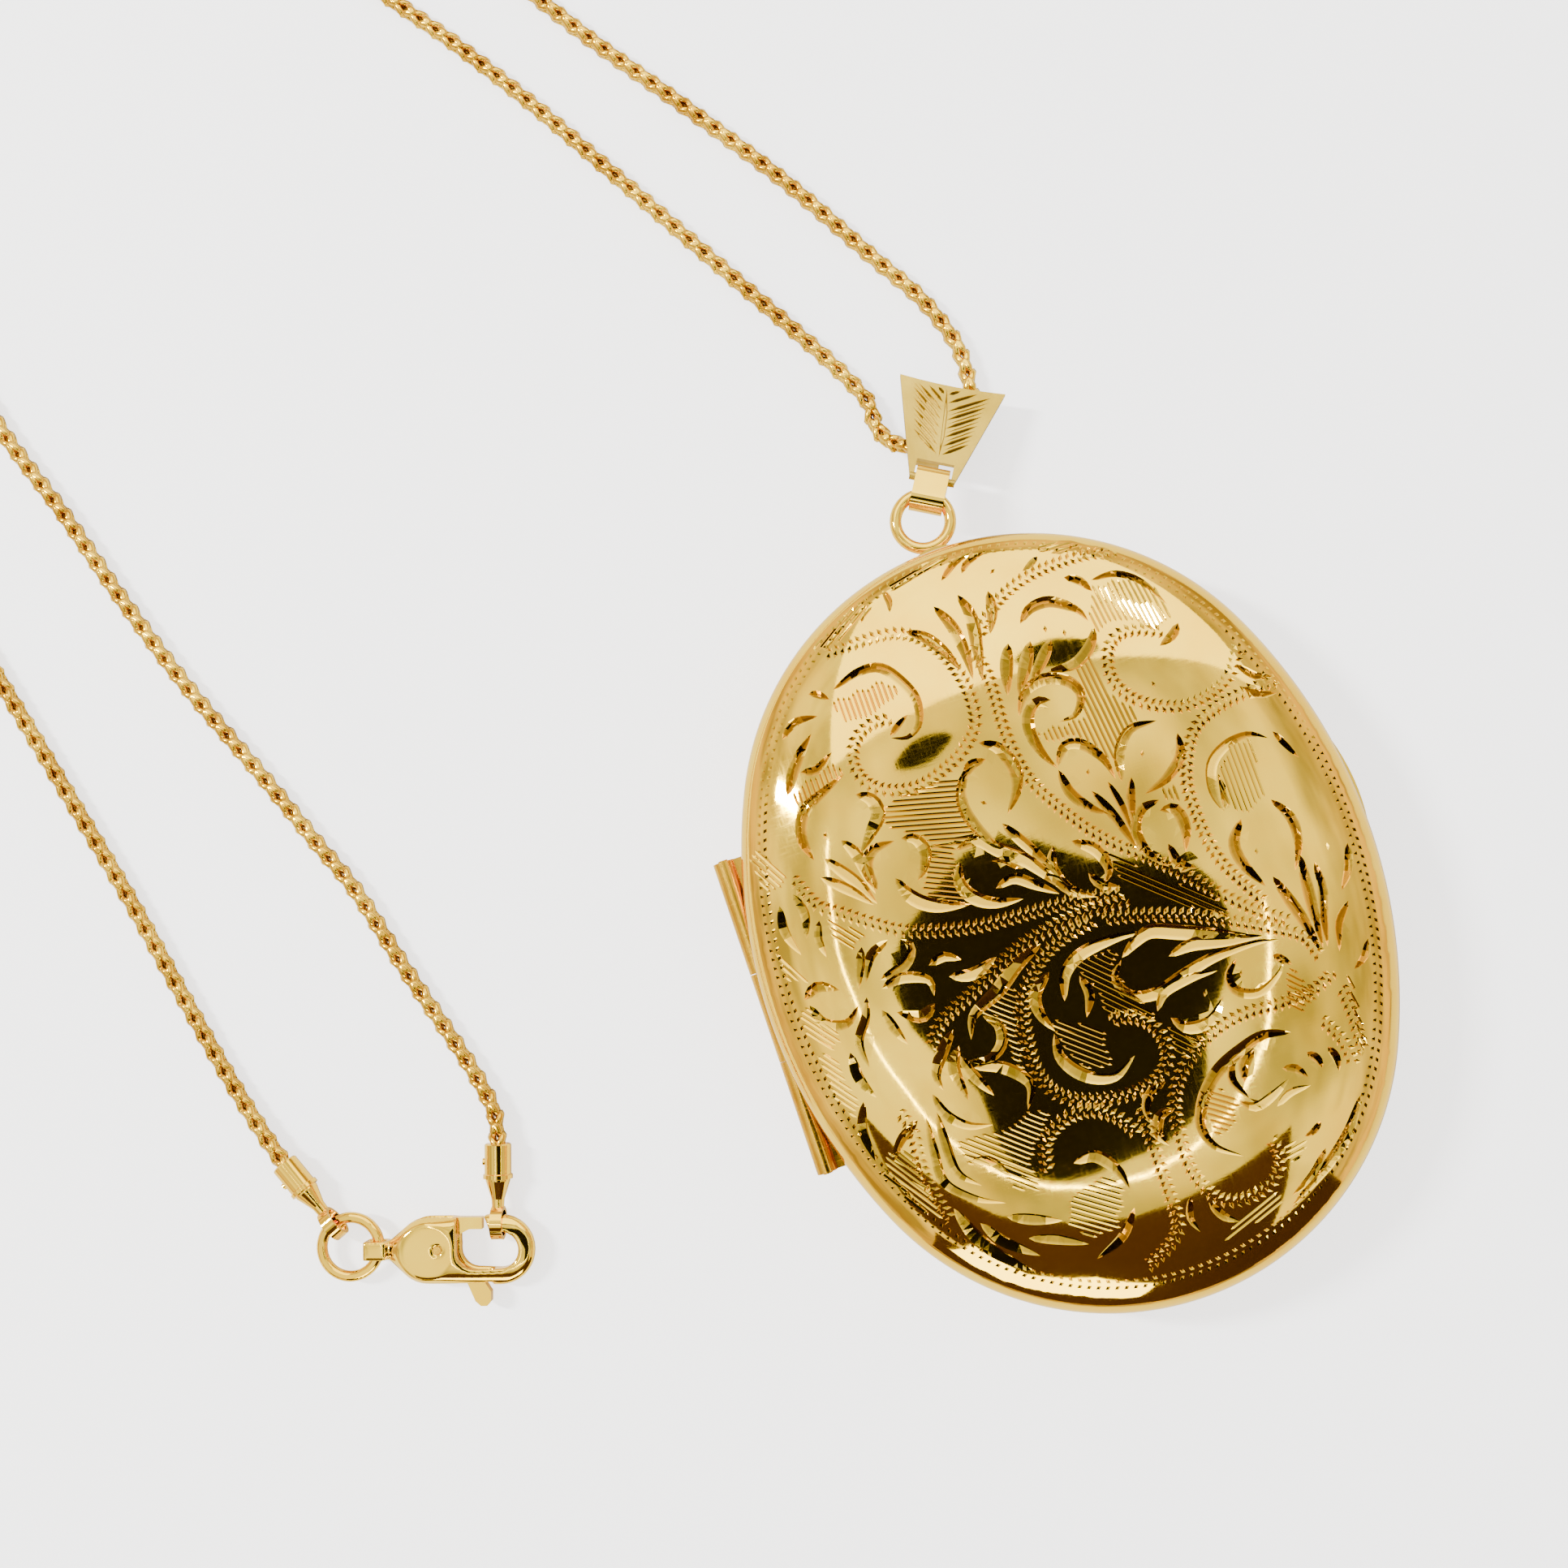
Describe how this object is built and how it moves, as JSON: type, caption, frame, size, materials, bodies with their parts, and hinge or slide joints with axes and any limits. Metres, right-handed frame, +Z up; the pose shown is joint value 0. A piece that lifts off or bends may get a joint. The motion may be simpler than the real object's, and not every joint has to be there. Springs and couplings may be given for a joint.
{
  "type": "locket necklace",
  "caption": "Oval hinged photo locket with an engraved domed cover, hung by a ring and link from a leaf bail on a fine chain with a lobster clasp.",
  "frame": {"origin": "centre of the box round the locket, its ring, link and bail, at the height of the surface it lies on", "axes": "+Y along the locket's long axis towards the bail, +X away from the hinge, +Z up through the engraved front cover"},
  "size_m": [0.0898, 0.1369, 0.0104],
  "materials": {
    "gold": "polished 14 ct yellow gold",
    "engraved_gold": "polished and hand-engraved yellow gold",
    "satin_gold": "brushed yellow gold",
    "chain_gold": "polished yellow gold links",
    "spring_steel": "spring strip",
    "window": "clear plastic",
    "card": "plain card"
  },
  "bodies": {
    "necklace": {"bail": "satin_gold", "chain": "chain_gold", "left_end_cap": "gold", "right_end_cap": "gold", "left_cap_rivet": "gold", "right_cap_rivet": "gold", "clasp_body": "gold", "clasp_pin": "gold", "clasp_spring": "spring_steel"},
    "link": {"bail_link": "gold"},
    "locket_back": {"back_cover": "gold", "back_rim": "gold", "back_photo_card": "card", "back_window": "window", "back_photo_frame": "gold", "upper_knuckle": "gold", "lower_knuckle": "gold", "hinge_pin": "gold", "bail_ring": "gold"},
    "locket_front": {"front_cover": "engraved_gold", "front_rim": "gold", "front_photo_card": "card", "front_window": "window", "front_photo_frame": "gold", "middle_knuckle": "gold", "thumb_lip": "gold"},
    "lever": {"clasp_lever": "gold"},
    "ring": {"jump_ring": "gold"}
  },
  "joints": [
    {"name": "bail_swing", "type": "hinge", "parent": "necklace", "child": "link", "pos_m": [0.00146, 0.02258, 0.00395], "axis": [0.8572, -0.515, 0], "range_deg": [-50, 50]},
    {"name": "locket_swing", "type": "hinge", "parent": "link", "child": "locket_back", "pos_m": [0.00075, 0.02139, 0.0044], "axis": [0.8572, -0.515, 0], "range_deg": [-55, 28]},
    {"name": "cover_hinge", "type": "hinge", "parent": "locket_back", "child": "locket_front", "pos_m": [-0.0188, -0.00615, 0.0052], "axis": [0, -1, 0], "range_deg": [0, 120]},
    {"name": "jump_ring_turn", "type": "hinge", "parent": "necklace", "child": "ring", "pos_m": [-0.04955, -0.0114, 0.0012], "axis": [0, 0, 1], "continuous": true},
    {"name": "lever_press", "type": "hinge", "parent": "necklace", "child": "lever", "pos_m": [-0.04405, -0.0133, 0.0012], "axis": [0, 0, -1], "range_deg": [0, 18], "stiffness_Nm_per_rad": 0.0015, "springref_deg": -11.46}
  ]
}
